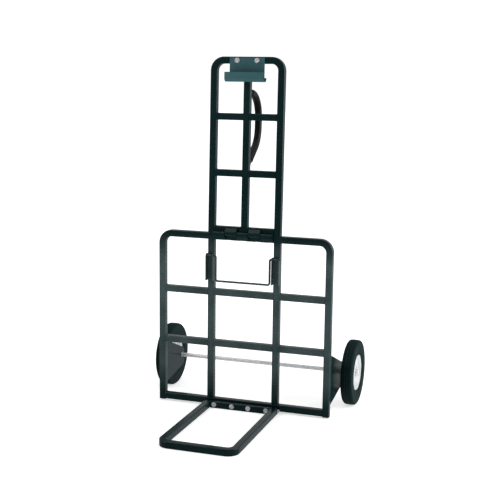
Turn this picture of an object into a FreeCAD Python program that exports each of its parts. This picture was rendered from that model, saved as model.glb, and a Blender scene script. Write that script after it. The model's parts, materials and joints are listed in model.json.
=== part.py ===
"""Folding luggage cart: square-tube frame, fold-over upper frame, fold-up toe, wire bail and two wheels."""

import FreeCAD, Part
import math
import os
import Sketcher
from FreeCAD import Placement, Rotation, Vector

DOC = FreeCAD.newDocument("LuggageCart")
SHEET = DOC.addObject("Spreadsheet::Sheet", "Sizes")

# Driving dimensions in millimetres, angles in degrees. Heights are above the floor; "forward" and "back"
# are distances from the frame plane, the plane through the middle of the lower frame's tubes.
SIZES = {
    "tube_side": 25.4,
    "tube_wall": 1.6,
    "tube_corner": 3.0,
    "bend_radius": 38.0,
    "lower_span": 660.4,
    "inner_span": 260.0,
    "bottom_rail": 20.0,
    "lower_mid": 251.0,
    "upper_mid": 451.0,
    "lower_top": 667.0,
    "plug_cap": 2.0,
    "plug_depth": 8.0,
    "hinge_forward": 27.0,
    "hinge_height": 680.5,
    "hinge_rise": 1.0,
    "hinge_plate": 3.0,
    "hinge_width": 228.0,
    "hinge_leaf": 23.0,
    "hinge_edge": 1.5,
    "hinge_pin": 4.0,
    "hinge_clearance": 0.05,
    "knuckle_nose": 8.0,
    "knuckle_foot": 22.0,
    "knuckle_width": 44.0,
    "knuckle_gap": 2.0,
    "pin_head": 6.0,
    "lean_back": 1.8,
    "upper_rail_low": 226.5,
    "upper_rail_high": 435.3,
    "upper_top": 641.0,
    "toe_reach": 492.0,
    "toe_span": 268.0,
    "toe_bend": 30.0,
    "toe_pivot_forward": 26.2,
    "toe_side_gap": 1.0,
    "insert_length": 10.0,
    "bush_radius": 6.3,
    "bush_fit": 0.05,
    "mount_bolt_height": 14.5,
    "mount_bolt_inner": 33.0,
    "mount_bolt_outer": 105.0,
    "bolt_radius": 3.97,
    "bolt_hole": 4.1,
    "bolt_head": 5.4,
    "bolt_corner": 7.9,
    "bolt_spare": 4.0,
    "washer_radius": 9.5,
    "washer_thickness": 1.6,
    "bracket_width": 30.0,
    "bracket_depth": 20.0,
    "bracket_height": 103.0,
    "bracket_middle": 549.5,
    "bracket_cut_depth": 5.7,
    "bracket_cut_height": 9.0,
    "sheet_thickness": 3.0,
    "bail_wire": 4.0,
    "bail_span": 213.0,
    "bail_drop": 97.5,
    "bail_pivot_height": 594.5,
    "bail_forward": 22.5,
    "bail_end": 40.5,
    "bail_bend": 8.0,
    "gusset_top": 240.0,
    "gusset_bottom": 50.0,
    "gusset_thickness": 4.0,
    "gusset_overhang": 27.5,
    "gusset_above": 24.0,
    "gusset_below": 43.0,
    "gusset_round": 25.0,
    "axle_back": 210.5,
    "axle_radius": 7.94,
    "axle_end": 402.5,
    "spacer_radius": 12.7,
    "cap_radius": 15.0,
    "cap_depth": 6.0,
    "wheel_radius": 127.0,
    "wheel_width": 44.5,
    "wheel_offset": 381.8,
    "bead_half": 16.0,
    "groove_depth": 3.0,
    "groove_half": 1.4,
    "groove_pitch": 11.0,
    "rim_radius": 65.0,
    "rim_lip": 3.5,
    "disc_sheet": 2.0,
    "disc_dish": 8.0,
    "hub_half": 14.0,
    "hub_radius": 14.0,
    "hub_bore": 12.0,
    "wheel_bush_fit": 0.05,
    "wheel_bush_length": 10.0,
    "bush_flange": 1.2,
    "wheel_side_play": 0.4,
    "hook_plate_width": 134.0,
    "hook_width": 149.0,
    "hook_top": 650.5,
    "hook_bottom": 562.0,
    "hook_lip": 597.0,
    "hook_reach": 52.0,
    "hook_bend": 14.0,
    "hook_bolt_height": 640.0,
    "hook_bolt_offset": 38.2,
    "handle_reach": 134.0,
    "handle_top": 523.0,
    "handle_corner": 349.0,
    "handle_foot": 259.0,
    "handle_top_bend": 92.0,
    "handle_low_bend": 100.0,
    "handle_radius": 11.1,
    "handle_wall": 1.6,
    "grip_radius": 13.6,
}


class Dim:
    """A length that carries both its value and the spreadsheet expression it comes from."""

    def __init__(self, value, text):
        self.value = float(value)
        self.text = text

    def __add__(self, other):
        other = dim(other)
        return Dim(self.value + other.value, f"({self.text} + {other.text})")

    def __sub__(self, other):
        other = dim(other)
        return Dim(self.value - other.value, f"({self.text} - {other.text})")

    def __mul__(self, factor):
        return Dim(self.value * factor, f"({self.text} * {factor})")

    def __truediv__(self, divisor):
        return Dim(self.value / divisor, f"({self.text} / {divisor})")

    def __neg__(self):
        return Dim(-self.value, f"(0 - {self.text})")


class Sizes:
    """The spreadsheet's cells as attributes."""

    def __getattr__(self, name):
        return Dim(SIZES[name], f"Sizes.{name}")


S = Sizes()


def dim(length):
    return length if isinstance(length, Dim) else Dim(length, repr(float(length)))


def fill_sheet():
    for row, (name, value) in enumerate(SIZES.items(), start=1):
        SHEET.set(f"A{row}", name)
        SHEET.set(f"B{row}", str(value))
        SHEET.setAlias(f"B{row}", name)
    DOC.recompute()


def bind(thing, prop, length):
    """Set a property's value and tie it to the sheet."""
    length = dim(length)
    if "." not in prop:
        setattr(thing, prop, length.value)
    thing.setExpression(prop, length.text)


# ---- places ------------------------------------------------------------------------------------------

HALF = S.tube_side / 2
AXLE_HEIGHT = S.wheel_radius
ALONG_X = Rotation(Vector(0, 1, 0), 90)
ALONG_MINUS_X = Rotation(Vector(0, 1, 0), -90)
TOWARDS_BACK = Rotation(Vector(1, 0, 0), -90)
SIDES = {"left": -1, "right": 1}


def at(x, y, z, rotation=None):
    x, y, z = (dim(length).value for length in (x, y, z))
    return Placement(Vector(x, y, z), rotation or Rotation())


# The row frame's origin is under the middle of the whole cart, so the frame plane stands off it.
FRAME_Y = (S.toe_reach + HALF - S.axle_back - S.wheel_radius) / 2
LOWER = at(0, FRAME_Y, 0)
HINGE = at(0, FRAME_Y - S.hinge_forward, S.hinge_height)
UPPER = HINGE.multiply(Placement(Vector(), Rotation(Vector(1, 0, 0), -SIZES["lean_back"])))
UPPER_PLANE = UPPER.multiply(at(0, S.hinge_forward, 0))
TOE = at(0, FRAME_Y - S.toe_pivot_forward, HALF)
BAIL = at(0, FRAME_Y - S.bail_forward, S.bail_pivot_height)


def wheel_place(side):
    return at(S.wheel_offset * side, FRAME_Y + S.axle_back, AXLE_HEIGHT)


# ---- sketching ---------------------------------------------------------------------------------------


def new_body(label, place):
    body = DOC.addObject("PartDesign::Body", label)
    body.Label = label
    body.Placement = place
    return body


def new_sketch(body, role, offset=None):
    """A sketch on one of the body's own origin planes, moved along the plane's normal by offset."""
    sketch = body.newObject("Sketcher::SketchObject", f"{body.Name}_sketch")
    plane = next(f for f in body.Origin.OriginFeatures if f.Role == role)
    sketch.AttachmentSupport = (plane, [""])
    sketch.MapMode = "FlatFace"
    if offset is not None:
        sketch.AttachmentOffset = at(0, 0, offset)
        bind(sketch, "AttachmentOffset.Base.z", offset)
    return sketch


def fix_value(sketch, length, *constraint):
    index = sketch.addConstraint(Sketcher.Constraint(*constraint, length.value))
    sketch.setExpression(f"Constraints[{index}]", length.text)


def fix_point(sketch, item, x, y):
    fix_value(sketch, x, "DistanceX", -1, 1, *item)
    fix_value(sketch, y, "DistanceY", -1, 1, *item)


def unit(start, end):
    return (end - start).normalize()


def corner_arc(before, corner, after, radius):
    """The arc that rounds a corner: the curve, where it leaves each side, and whether it turns left."""
    to_before = unit(corner, before)
    to_after = unit(corner, after)
    half_angle = to_before.getAngle(to_after) / 2
    side = radius / math.tan(half_angle)
    arrives = corner + to_before * side
    leaves = corner + to_after * side
    centre = corner + unit(Vector(), to_before + to_after) * (radius / math.sin(half_angle))
    turns_left = to_after.cross(to_before).z > 0
    ends = (arrives, leaves) if turns_left else (leaves, arrives)
    angles = [math.atan2(end.y - centre.y, end.x - centre.x) for end in ends]
    curve = Part.ArcOfCircle(Part.Circle(centre, Vector(0, 0, 1), radius), *angles)
    return curve, arrives, leaves, turns_left


def round_corner(sketch, line_in, line_out, arc, turns_left, corner, point):
    """Tie an arc to the two lines it joins, and their crossing point to the corner's dimensions."""
    near, far = (1, 2) if turns_left else (2, 1)
    sketch.addConstraint(Sketcher.Constraint("Tangent", line_in, 2, arc, near))
    sketch.addConstraint(Sketcher.Constraint("Tangent", arc, far, line_out, 1))
    fix_value(sketch, corner[2], "Radius", arc)
    mark = sketch.addGeometry(Part.Point(point), True)
    sketch.addConstraint(Sketcher.Constraint("PointOnObject", mark, 1, line_in))
    sketch.addConstraint(Sketcher.Constraint("PointOnObject", mark, 1, line_out))
    fix_point(sketch, (mark, 1), *corner[:2])


def draw(sketch, corners, closed=True):
    """Draw straight runs through corners (x, y) or (x, y, radius), the second kind rounded by an arc."""
    corners = [tuple(dim(length) for length in corner) for corner in corners]
    points = [Vector(corner[0].value, corner[1].value) for corner in corners]
    count = len(points)
    starts, ends, arcs = list(points), list(points), {}
    for i, corner in enumerate(corners):
        if len(corner) == 3:
            nearby = points[i - 1], points[i], points[(i + 1) % count]
            curve, ends[i], starts[i], turns_left = corner_arc(*nearby, corner[2].value)
            arcs[i] = (sketch.addGeometry(curve), turns_left)
    runs = [(starts[i], ends[(i + 1) % count]) for i in range(count if closed else count - 1)]
    lines = [sketch.addGeometry(Part.LineSegment(*run)) for run in runs]
    for i, corner in enumerate(corners):
        line_in = lines[i - 1] if closed or i > 0 else None
        line_out = lines[i] if i < len(lines) else None
        if i in arcs:
            round_corner(sketch, line_in, line_out, *arcs[i], corner, points[i])
        elif line_out is None:
            fix_point(sketch, (line_in, 2), *corner)
        else:
            if line_in is not None:
                sketch.addConstraint(Sketcher.Constraint("Coincident", line_in, 2, line_out, 1))
            fix_point(sketch, (line_out, 1), *corner)


def draw_circle(sketch, x, y, radius):
    x, y, radius = dim(x), dim(y), dim(radius)
    circle = sketch.addGeometry(Part.Circle(Vector(x.value, y.value), Vector(0, 0, 1), radius.value))
    fix_value(sketch, radius, "Radius", circle)
    fix_point(sketch, (circle, 3), x, y)


def rectangle(low_x, high_x, low_y, high_y, *radius):
    return [
        (low_x, low_y, *radius),
        (high_x, low_y, *radius),
        (high_x, high_y, *radius),
        (low_x, high_y, *radius),
    ]


# ---- features ----------------------------------------------------------------------------------------


def pad(body, sketch, length):
    """Pad a sketch by length, half to each side."""
    feature = body.newObject("PartDesign::Pad", f"{body.Name}_pad")
    feature.Profile = sketch
    feature.SideType = "Symmetric"
    bind(feature, "Length", length)
    body.Tip = feature


def cut_through(body, sketch):
    """Cut a sketch right through the body, to both sides, and make sure that it removed material."""
    DOC.recompute()
    before = body.Shape.Volume
    feature = body.newObject("PartDesign::Pocket", f"{body.Name}_cut")
    feature.Profile = sketch
    feature.SideType = "Symmetric"
    feature.Type = "ThroughAll"
    body.Tip = feature
    DOC.recompute()
    if not body.Shape.Volume < before:
        raise RuntimeError(f"{body.Label}: a cut removed nothing")


def revolve(body, corners):
    """Turn an outline drawn as (along X, radius) about the body's X axis."""
    sketch = new_sketch(body, "XZ_Plane")
    draw(sketch, corners)
    feature = body.newObject("PartDesign::Revolution", f"{body.Name}_turn")
    feature.Profile = sketch
    feature.ReferenceAxis = (sketch, ["H_Axis"])
    feature.Angle = 360.0
    body.Tip = feature


def sweep(body, profile, spine):
    DOC.recompute()
    feature = body.newObject("PartDesign::AdditivePipe", f"{body.Name}_sweep")
    feature.Profile = profile
    feature.Spine = (spine, [f"Edge{i + 1}" for i in range(len(spine.Shape.Edges))])
    body.Tip = feature


def square_section(sketch, x=dim(0), y=dim(0)):
    """The hollow square section of the frame tube."""
    inner = HALF - S.tube_wall
    draw(sketch, rectangle(x - HALF, x + HALF, y - HALF, y + HALF, S.tube_corner))
    corner = S.tube_corner - S.tube_wall
    draw(sketch, rectangle(x - inner, x + inner, y - inner, y + inner, corner))


def drill(body, role, centres, radius):
    """Drill a hole right through at each centre, square to the plane named by role."""
    sketch = new_sketch(body, role)
    for x, y in centres:
        draw_circle(sketch, x, y, radius)
    cut_through(body, sketch)


# ---- shared pieces -----------------------------------------------------------------------------------


def straight_tube(label, length, place, upright=False):
    """Frame tube along X, or along Z when upright, with its middle at the placement."""
    body = new_body(label, place)
    sketch = new_sketch(body, "XY_Plane" if upright else "YZ_Plane")
    square_section(sketch)
    pad(body, sketch, length)
    return body


def bent_tube(label, span, height, radius, place):
    """One frame tube bent into an upside-down U, its two ends on the placement's XY plane."""
    body = new_body(label, place)
    profile = new_sketch(body, "XY_Plane")
    square_section(profile, x=-span / 2)
    spine = new_sketch(body, "XZ_Plane")
    route = [(-span / 2, 0), (-span / 2, height, radius), (span / 2, height, radius), (span / 2, 0)]
    draw(spine, route, closed=False)
    sweep(body, profile, spine)
    return body


def cylinder(name, radius, height):
    part = DOC.addObject("Part::Cylinder", name)
    bind(part, "Radius", radius)
    bind(part, "Height", height)
    return part


def hexagon(name, corner_radius, height):
    part = DOC.addObject("Part::Prism", name)
    part.Polygon = 6
    bind(part, "Circumradius", corner_radius)
    bind(part, "Height", height)
    return part


def join(kind, name, base, tool):
    part = DOC.addObject(kind, name)
    part.Base = base
    part.Tool = tool
    return part


def group(label, pieces):
    """Identical pieces as one node of separate solids."""
    compound = DOC.addObject("Part::Compound", label)
    compound.Label = label
    compound.Links = pieces
    return compound


def hex_bolt(name, length, place):
    """A bolt with its head's underside on the placement and its shank along the placement's +Z."""
    head = hexagon(f"{name}_head", S.bolt_corner, S.bolt_head)
    head.Placement = at(0, 0, -S.bolt_head)
    shank = cylinder(f"{name}_shank", S.bolt_radius, length)
    bolt = join("Part::Fuse", name, head, shank)
    bolt.Placement = place
    return bolt


def ring(name, outer, inner, height, place):
    disc = cylinder(f"{name}_disc", outer, height)
    hole = cylinder(f"{name}_hole", inner, height)
    washer = join("Part::Cut", name, disc, hole)
    washer.Placement = place
    return washer


def hex_nut(name, place):
    body = hexagon(f"{name}_body", S.bolt_corner, S.bolt_head)
    hole = cylinder(f"{name}_hole", S.bolt_hole, S.bolt_head)
    nut = join("Part::Cut", name, body, hole)
    nut.Placement = place
    return nut


def bolted_row(label, place, centres, front, back, rises=True):
    """Bolts along +Y at centres (x, z), with a washer under each head in front and a nut behind."""
    bolts, washers, nuts = [], [], []
    grip = back - front
    thickness = S.washer_thickness
    length = grip + thickness + S.bolt_head + S.bolt_spare
    for i, (x, z) in enumerate(centres):
        head_place = place.multiply(at(x, front - thickness, z, TOWARDS_BACK))
        nut_place = place.multiply(at(x, back, z, TOWARDS_BACK))
        bolts.append(hex_bolt(f"{label}_bolt_{i}", length, head_place))
        washers.append(ring(f"{label}_washer_{i}", S.washer_radius, S.bolt_hole, thickness, head_place))
        nuts.append(hex_nut(f"{label}_nut_{i}", nut_place))
    return [
        group(f"{label}_bolts", bolts),
        group(f"{label}_washers", washers),
        group(f"{label}_nuts", nuts),
    ]


def leg_plugs(label, span, place, cap=None):
    """Two moulded plugs that close a hoop's open ends: a boss inside the tube, and a cap under it if any."""
    plugs = []
    inner = HALF - S.tube_wall - 0.05
    for name, side in SIDES.items():
        plug = new_body(f"{label}_{name}", place.multiply(at(span / 2 * side, 0, 0)))
        boss = new_sketch(plug, "XY_Plane", S.plug_depth / 2)
        draw(boss, rectangle(-inner, inner, -inner, inner, S.tube_corner - S.tube_wall))
        pad(plug, boss, S.plug_depth)
        if cap is not None:
            foot = new_sketch(plug, "XY_Plane", -cap / 2)
            draw(foot, rectangle(-HALF, HALF, -HALF, HALF, S.tube_corner))
            pad(plug, foot, cap)
        plugs.append(plug)
    return group(label, plugs)


# ---- lower frame -------------------------------------------------------------------------------------

MOUNT_BOLTS = [-S.mount_bolt_outer, -S.mount_bolt_inner, S.mount_bolt_inner, S.mount_bolt_outer]


def lower_frame_tubes():
    foot = S.bottom_rail - HALF
    hoop_place = LOWER.multiply(at(0, 0, foot))
    parts = [bent_tube("lower_hoop", S.lower_span, S.lower_top - foot, S.bend_radius, hoop_place)]
    bottom_place = LOWER.multiply(at(0, 0, S.bottom_rail))
    bottom = straight_tube("bottom_rail", S.lower_span - S.tube_side, bottom_place)
    bolt_drop = S.mount_bolt_height - S.bottom_rail
    drill(bottom, "XZ_Plane", [(x, bolt_drop) for x in MOUNT_BOLTS], S.bolt_hole)
    parts.append(bottom)
    upright_length = S.lower_top - S.bottom_rail - S.tube_side
    upright_middle = (S.lower_top + S.bottom_rail) / 2
    for name, side in SIDES.items():
        place = LOWER.multiply(at(S.inner_span / 2 * side, 0, upright_middle))
        parts.append(straight_tube(f"inner_upright_{name}", upright_length, place, upright=True))
    outer_length = (S.lower_span - S.inner_span) / 2 - S.tube_side
    outer_middle = (S.lower_span + S.inner_span) / 4
    for rail, height in {"lower_mid_rail": S.lower_mid, "upper_mid_rail": S.upper_mid}.items():
        centre_place = LOWER.multiply(at(0, 0, height))
        parts.append(straight_tube(f"{rail}_centre", S.inner_span - S.tube_side, centre_place))
        for name, side in SIDES.items():
            place = LOWER.multiply(at(outer_middle * side, 0, height))
            parts.append(straight_tube(f"{rail}_{name}", outer_length, place))
    parts.append(leg_plugs("lower_leg_plugs", S.lower_span, hoop_place, S.plug_cap))
    return parts


def gusset(name, side):
    """Triangular plate that carries the axle, flush with the outside of the hoop's leg."""
    x = (S.lower_span / 2 + HALF - S.gusset_thickness / 2) * side
    body = new_body(f"gusset_{name}", LOWER.multiply(at(x, 0, 0)))
    sketch = new_sketch(body, "YZ_Plane")
    rear = S.axle_back + S.gusset_overhang
    corners = [
        (HALF, S.gusset_bottom),
        (rear, AXLE_HEIGHT - S.gusset_below, S.gusset_round),
        (rear, AXLE_HEIGHT + S.gusset_above, S.gusset_round),
        (HALF, S.gusset_top),
    ]
    draw(sketch, corners)
    pad(body, sketch, S.gusset_thickness)
    drill(body, "YZ_Plane", [(S.axle_back, AXLE_HEIGHT)], S.axle_radius + S.bush_fit)
    return body


def bail_bracket(name, side):
    """Channel on the front of an inner upright, its flanges turned forward to hold one end of the bail."""
    place = LOWER.multiply(at(S.inner_span / 2 * side, 0, S.bracket_middle))
    body = new_body(f"bail_bracket_{name}", place)
    sketch = new_sketch(body, "XY_Plane")
    back, front, outer = -HALF, -HALF - S.bracket_depth, S.bracket_width / 2
    web, inner = back - S.sheet_thickness, outer - S.sheet_thickness
    bend = S.sheet_thickness + 1
    corners = [
        (-outer, front),
        (-inner, front),
        (-inner, web, 1),
        (inner, web, 1),
        (inner, front),
        (outer, front),
        (outer, back, bend),
        (-outer, back, bend),
    ]
    draw(sketch, corners)
    pad(body, sketch, S.bracket_height)
    top = S.bracket_height / 2
    slope = new_sketch(body, "YZ_Plane")
    draw(slope, [(front, top - S.bracket_cut_height), (front + S.bracket_cut_depth, top), (front, top)])
    cut_through(body, slope)
    pivot = (-S.bail_forward, S.bail_pivot_height - S.bracket_middle)
    drill(body, "YZ_Plane", [pivot], S.bail_wire + S.hinge_clearance)
    return body


def axle_parts():
    """The axle with its spacers against the gussets, a washer outside each wheel and a domed end cap."""
    place = LOWER.multiply(at(-S.axle_end, S.axle_back, AXLE_HEIGHT, ALONG_X))
    axle = cylinder("axle", S.axle_radius, S.axle_end * 2)
    axle.Label = "axle"
    axle.Placement = place
    parts = [axle]
    bore = S.axle_radius + S.bush_fit
    gusset_face = S.lower_span / 2 + HALF
    hub_half = S.hub_half + S.bush_flange
    inner_end = S.wheel_offset - hub_half - S.wheel_side_play
    outer_end = S.wheel_offset + hub_half + S.wheel_side_play
    washers = []
    for name, side in SIDES.items():
        turn = ALONG_X if side > 0 else ALONG_MINUS_X
        spacer_place = LOWER.multiply(at(gusset_face * side, S.axle_back, AXLE_HEIGHT, turn))
        spacer = ring(f"axle_spacer_{name}", S.spacer_radius, bore, inner_end - gusset_face, spacer_place)
        spacer.Label = f"axle_spacer_{name}"
        washer_place = LOWER.multiply(at(outer_end * side, S.axle_back, AXLE_HEIGHT, turn))
        washers.append(ring(f"axle_washer_{name}", S.cap_radius, bore, S.washer_thickness, washer_place))
        parts += [spacer, axle_cap(name, side, outer_end + S.washer_thickness)]
    return parts + [group("axle_washers", washers)]


def axle_cap(name, side, start):
    """A pressed cap over the axle's end, hollow where the axle enters it."""
    facing = Rotation() if side > 0 else Rotation(Vector(0, 0, 1), 180)
    body = new_body(f"axle_cap_{name}", LOWER.multiply(at(start * side, S.axle_back, AXLE_HEIGHT, facing)))
    bore = S.axle_radius + S.bush_fit
    floor = S.axle_end - start + 0.3
    corners = [
        (0, bore),
        (0, S.cap_radius),
        (1.2, S.cap_radius, 0.5),
        (1.2, S.cap_radius - 2),
        (S.cap_depth, S.cap_radius - 2, 3),
        (S.cap_depth, 0),
        (floor, 0),
        (floor, bore),
    ]
    revolve(body, corners)
    return body


KNUCKLE_PITCH = S.knuckle_width + S.knuckle_gap


def knuckle_outline(up):
    """Side view of a hinge knuckle: a rounded nose about the pin and a foot on the leaf; up is 1 or -1."""
    nose = S.knuckle_nose
    round_nose = nose - 0.1
    face = S.hinge_forward - HALF - S.hinge_plate
    corners = [
        (face, S.knuckle_foot * up),
        (nose / 2, S.knuckle_foot * up),
        (-nose, nose * up, round_nose),
        (-nose, nose * -up, round_nose),
        (nose, nose * -up, round_nose),
        (nose, nose / 2 * up),
        (face, nose / 2 * up),
    ]
    return corners if up < 0 else corners[::-1]


def hinge_leaf(label, up, places, place):
    """Plate on the front of a rail with knuckles that reach forward to the hinge pin.

    The places of its knuckles are counted from the middle of the row.
    """
    body = new_body(label, place)
    back = S.hinge_forward - HALF
    plate = new_sketch(body, "YZ_Plane")
    near, far = S.hinge_edge * up, (S.hinge_edge + S.hinge_leaf) * up
    low, high = (near, far) if up > 0 else (far, near)
    draw(plate, rectangle(back - S.hinge_plate, back, low, high))
    pad(body, plate, S.hinge_width)
    for count in places:
        knuckle = new_sketch(body, "YZ_Plane", KNUCKLE_PITCH * count)
        draw(knuckle, knuckle_outline(up))
        pad(body, knuckle, S.knuckle_width)
    drill(body, "YZ_Plane", [(0, 0)], S.hinge_pin + S.hinge_clearance)
    return body


def lower_hinge_parts():
    leaf = hinge_leaf("hinge_leaf_lower", -1, [-2, 0, 2], HINGE)
    head_depth = dim(2)
    reach = KNUCKLE_PITCH * 2 + S.knuckle_width / 2 + 1
    head = cylinder("hinge_pin_head", S.pin_head, head_depth)
    head.Placement = at(0, 0, -head_depth)
    shank = cylinder("hinge_pin_shank", S.hinge_pin, reach * 2)
    pin = join("Part::Fuse", "hinge_pin", head, shank)
    pin.Label = "hinge_pin"
    pin.Placement = HINGE.multiply(at(-reach, 0, 0, ALONG_X))
    return [leaf, pin]


def toe_mount_parts():
    """The bar bolted to the front of the bottom rail, and what the toe's arms turn on at its ends."""
    half_length = S.toe_span / 2 - HALF - S.toe_side_gap
    place = LOWER.multiply(at(0, -S.tube_side, HALF))
    bar = straight_tube("toe_mount_bar", half_length * 2, place)
    bolt_rise = S.mount_bolt_height - HALF
    drill(bar, "XZ_Plane", [(x, bolt_rise) for x in MOUNT_BOLTS], S.bolt_hole)
    centres = [(x, S.mount_bolt_height) for x in MOUNT_BOLTS]
    parts = [bar] + bolted_row("toe_mount", LOWER, centres, -HALF - S.tube_side, HALF)
    inserts, bolts = [], []
    inner = HALF - S.tube_wall - 0.05
    pivot_y = S.tube_side - S.toe_pivot_forward
    for name, side in SIDES.items():
        middle = (half_length - S.insert_length / 2) * side
        insert = new_body(f"toe_insert_{name}", place.multiply(at(middle, 0, 0)))
        sketch = new_sketch(insert, "YZ_Plane")
        draw(sketch, rectangle(-inner, inner, -inner, inner, S.tube_corner - S.tube_wall))
        draw_circle(sketch, pivot_y, 0, S.bolt_radius + 0.02)
        pad(insert, sketch, S.insert_length)
        inserts.append(insert)
        turn = ALONG_MINUS_X if side > 0 else ALONG_X
        head_x = S.toe_span / 2 + HALF + S.toe_side_gap
        length = S.tube_side + S.toe_side_gap * 2 + S.insert_length - 2
        bolts.append(hex_bolt(f"toe_pivot_{name}", length, TOE.multiply(at(head_x * side, 0, 0, turn))))
    return parts + [group("toe_pivot_inserts", inserts), group("toe_pivot_bolts", bolts)]


def lower_frame_parts():
    parts = lower_frame_tubes()
    for name, side in SIDES.items():
        parts += [gusset(name, side), bail_bracket(name, side)]
    return parts + axle_parts() + lower_hinge_parts() + toe_mount_parts()


# ---- upper frame -------------------------------------------------------------------------------------


def upper_frame_tubes():
    foot = S.hinge_rise
    hoop_place = UPPER_PLANE.multiply(at(0, 0, foot))
    hoop = bent_tube("upper_hoop", S.inner_span, S.upper_top - foot, S.bend_radius, hoop_place)
    bolts = [(S.hook_bolt_offset * side, S.hook_bolt_height - foot) for side in SIDES.values()]
    drill(hoop, "XZ_Plane", bolts, S.bolt_hole)
    bottom_height = foot + HALF
    bottom_place = UPPER_PLANE.multiply(at(0, 0, bottom_height))
    parts = [hoop, straight_tube("upper_bottom_rail", S.inner_span - S.tube_side, bottom_place)]
    post_low, post_high = bottom_height + HALF, S.upper_top - HALF
    post_place = UPPER_PLANE.multiply(at(0, 0, (post_low + post_high) / 2))
    parts.append(straight_tube("centre_post", post_high - post_low, post_place, upright=True))
    rungs = {"lower_rung": S.upper_rail_low, "upper_rung": S.upper_rail_high}
    for rung, height in rungs.items():
        for name, side in SIDES.items():
            place = UPPER_PLANE.multiply(at(S.inner_span / 4 * side, 0, height))
            parts.append(straight_tube(f"{rung}_{name}", S.inner_span / 2 - S.tube_side, place))
    parts.append(leg_plugs("upper_leg_plugs", S.inner_span, hoop_place))
    return parts


def hook_bracket():
    """Sheet bent into a J: a plate down the front of the top rail that turns forward and up to a lip."""
    body = new_body("hook_bracket", UPPER_PLANE)
    back, front = -HALF, -S.hook_reach
    inside_back, inside_front = back - S.sheet_thickness, front + S.sheet_thickness
    inside_bend = S.hook_bend - S.sheet_thickness
    floor = S.hook_bottom + S.sheet_thickness
    shoulder = S.hook_bottom + S.hook_bend + 1
    trough = new_sketch(body, "YZ_Plane")
    corners = [
        (back, shoulder),
        (inside_back, shoulder),
        (inside_back, floor, inside_bend),
        (inside_front, floor, inside_bend),
        (inside_front, S.hook_lip),
        (front, S.hook_lip),
        (front, S.hook_bottom, S.hook_bend),
        (back, S.hook_bottom, S.hook_bend),
    ]
    draw(trough, corners)
    pad(body, trough, S.hook_width)
    plate = new_sketch(body, "YZ_Plane")
    draw(plate, rectangle(inside_back, back, shoulder, S.hook_top))
    pad(body, plate, S.hook_plate_width)
    bolts = [(S.hook_bolt_offset * side, S.hook_bolt_height) for side in SIDES.values()]
    drill(body, "XZ_Plane", bolts, S.bolt_hole)
    return body


def handle_route(start, end):
    """Side view of the carrying handle's centre line, from start to end along Y behind the frame plane."""
    slope = (S.handle_corner - S.handle_foot) / (S.handle_reach - HALF).value
    drop = (S.handle_reach - end) * slope.value
    return [
        (start, S.handle_top),
        (S.handle_reach, S.handle_top, S.handle_top_bend),
        (S.handle_reach, S.handle_corner, S.handle_low_bend),
        (end, S.handle_corner - drop),
    ]


def handle_tube(label, start, end, outer, inner):
    body = new_body(label, UPPER_PLANE)
    profile = new_sketch(body, "XZ_Plane", -start)
    draw_circle(profile, 0, S.handle_top, outer)
    draw_circle(profile, 0, S.handle_top, inner)
    spine = new_sketch(body, "YZ_Plane")
    draw(spine, handle_route(start, end), closed=False)
    sweep(body, profile, spine)
    return body


def handle_parts():
    """A bent round tube welded to the back of the centre post, with a moulded grip over most of it."""
    inner = S.handle_radius - S.handle_wall
    loop = handle_tube("handle_loop", HALF, dim(0), S.handle_radius, inner)
    trim = new_sketch(loop, "YZ_Plane")
    low, high = S.handle_foot - S.tube_side * 2, S.handle_foot + S.tube_side * 2
    draw(trim, rectangle(-S.tube_side, HALF, low, high))
    cut_through(loop, trim)
    grip_start, grip_end = S.handle_reach - S.handle_top_bend - 12, S.tube_side * 1.4
    grip = handle_tube("handle_grip", grip_start, grip_end, S.grip_radius, S.handle_radius)
    return [loop, grip]


def upper_frame_parts():
    bolts = [(S.hook_bolt_offset * side, S.hook_bolt_height) for side in SIDES.values()]
    front = -HALF - S.sheet_thickness
    parts = upper_frame_tubes() + [hook_bracket()] + handle_parts()
    parts += bolted_row("hook", UPPER_PLANE, bolts, front, HALF)
    return parts + [hinge_leaf("hinge_leaf_upper", 1, [-1, 1], UPPER)]


# ---- toe, bail and wheels ----------------------------------------------------------------------------


def toe_parts():
    """The U of tube that lies on the floor, its arms' ends rounded about the pivot, and its two bushes."""
    flat = Rotation(Vector(1, 0, 0), 90)
    reach = S.toe_reach - S.toe_pivot_forward + HALF
    toe = bent_tube("toe_loop", S.toe_span, reach, S.toe_bend, TOE.multiply(at(0, HALF, 0, flat)))
    ends = new_sketch(toe, "YZ_Plane")
    clear = HALF + 1
    corners = [
        (-clear, -1),
        (clear, -1),
        (clear, HALF),
        (HALF, HALF),
        (HALF, 0, HALF - 0.01),
        (-HALF, 0, HALF - 0.01),
        (-HALF, HALF),
        (-clear, HALF),
    ]
    draw(ends, corners)
    cut_through(toe, ends)
    drill(toe, "YZ_Plane", [(0, HALF)], S.bush_radius + 0.02)
    bushes = []
    for name, side in SIDES.items():
        start = TOE.multiply(at(S.toe_span / 2 * side - HALF, 0, 0, ALONG_X))
        bore = S.bolt_radius + S.bush_fit
        bushes.append(ring(f"toe_bush_{name}", S.bush_radius, bore, S.tube_side, start))
    return [toe, group("toe_pivot_bushes", bushes)]


def bail_part():
    """Round wire bent into a hanging U whose turned-out ends sit in the brackets."""
    body = new_body("bail", BAIL)
    half = S.bail_span / 2
    tip = half + S.bail_end
    profile = new_sketch(body, "YZ_Plane", -tip)
    draw_circle(profile, 0, 0, S.bail_wire)
    spine = new_sketch(body, "XZ_Plane")
    route = [
        (-tip, 0),
        (-half, 0, S.bail_bend),
        (-half, -S.bail_drop, S.bail_bend),
        (half, -S.bail_drop, S.bail_bend),
        (half, 0, S.bail_bend),
        (tip, 0),
    ]
    draw(spine, route, closed=False)
    sweep(body, profile, spine)
    return [body]


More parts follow.
